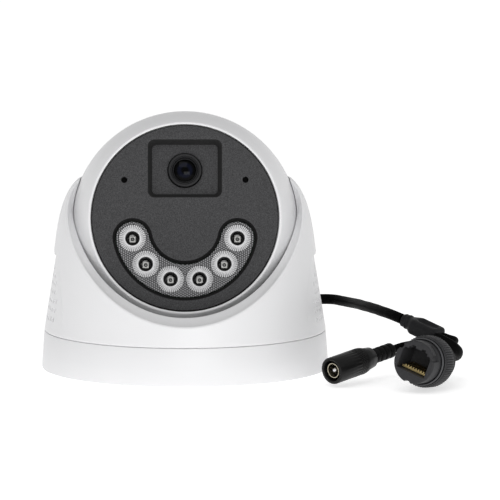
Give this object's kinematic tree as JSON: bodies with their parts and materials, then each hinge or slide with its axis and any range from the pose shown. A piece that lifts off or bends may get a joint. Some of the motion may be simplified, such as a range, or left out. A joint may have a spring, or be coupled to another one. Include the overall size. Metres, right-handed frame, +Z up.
{
  "type": "turret security camera",
  "caption": "Eyeball network camera in a round visor housing on a surface-mount base, with tilting and rolling ball, arc of light emitters and a pigtail with network and power sockets.",
  "frame": {"origin": "centre of the underside of the round base", "axes": "+Z up out of the base, -Y the way the camera looks at rest, +X to the right seen from the front"},
  "size_m": [0.1604, 0.1291, 0.0987],
  "materials": {
    "white_plastic": "fine satin moulded plastic",
    "face_black": "spark-eroded matte black plastic",
    "inner_black": "matte black moulding",
    "rubber_black": "soft black cable jacket and strain relief",
    "connector_black": "satin black connector moulding",
    "steel": "plated steel",
    "contact_metal": "plated contact springs",
    "lens_glass": "coated optical glass",
    "window_tint": "clear window with a fine prism texture behind it",
    "optic_clear": "clear moulded collimator",
    "chip_dark": "dark chip package",
    "board_green": "solder-masked circuit board",
    "seal_grey": "grey silicone seal"
  },
  "bodies": {
    "base": {"mounting_base": "white_plastic", "pan_friction_washer": "seal_grey", "pan_lock_ring": "steel", "lock_ring_screw_1": "steel", "lock_ring_screw_2": "steel", "lock_ring_screw_3": "steel"},
    "housing": {"upper_shell": "white_plastic", "housing_floor": "white_plastic", "floor_screw_1": "steel", "floor_screw_2": "steel", "floor_screw_3": "steel", "floor_screw_4": "steel", "interface_board": "board_green", "ethernet_transformer": "inner_black", "speaker_driver": "inner_black", "cable_grommet": "rubber_black", "main_cable": "rubber_black", "network_lead": "rubber_black", "power_lead": "rubber_black", "cable_junction": "rubber_black", "network_socket": "connector_black", "network_contacts": "contact_metal", "network_boot": "connector_black", "network_seal": "seal_grey", "power_socket": "connector_black", "power_sleeve": "steel", "power_pin": "steel", "power_strain_relief": "rubber_black"},
    "cradle": {"tilt_yoke": "steel"},
    "eyeball": {"ball_front_shell": "white_plastic", "ball_rear_shell": "white_plastic", "ball_seal": "seal_grey", "face_cover": "face_black", "led_window": "window_tint", "led_optic_1": "optic_clear", "led_optic_2": "optic_clear", "led_optic_3": "optic_clear", "led_optic_4": "optic_clear", "led_optic_5": "optic_clear", "led_optic_6": "optic_clear", "led_chip_1": "chip_dark", "led_chip_2": "chip_dark", "led_chip_3": "chip_dark", "led_chip_4": "chip_dark", "led_chip_5": "chip_dark", "led_chip_6": "chip_dark", "led_board": "board_green", "lens_barrel": "inner_black", "lens_glass": "lens_glass", "lens_holder": "inner_black", "sensor_board": "board_green", "image_sensor": "chip_dark", "main_board": "board_green", "heat_sink": "steel", "microphone_left": "inner_black", "microphone_right": "inner_black", "roll_pivot": "white_plastic", "pivot_clip": "steel"},
    "lock_ring": {"network_lock_ring": "connector_black"}
  },
  "joints": [
    {"name": "housing_pan", "type": "hinge", "parent": "base", "child": "housing", "pos_m": [0, 0, 0.015], "axis": [0, 0, 1], "range_deg": [-170, 170]},
    {"name": "ball_tilt", "type": "hinge", "parent": "housing", "child": "cradle", "pos_m": [0, 0, 0.055], "axis": [-1, 0, 0], "range_deg": [-3, 70]},
    {"name": "ball_roll", "type": "hinge", "parent": "cradle", "child": "eyeball", "pos_m": [0, 0, 0.055], "axis": [0, -0.9724, 0.2334], "range_deg": [-175, 175]},
    {"name": "lock_ring_turn", "type": "hinge", "parent": "housing", "child": "lock_ring", "pos_m": [0.091, -0.059, 0.01035], "axis": [-0.4225, -0.8997, 0.1096], "continuous": true}
  ]
}
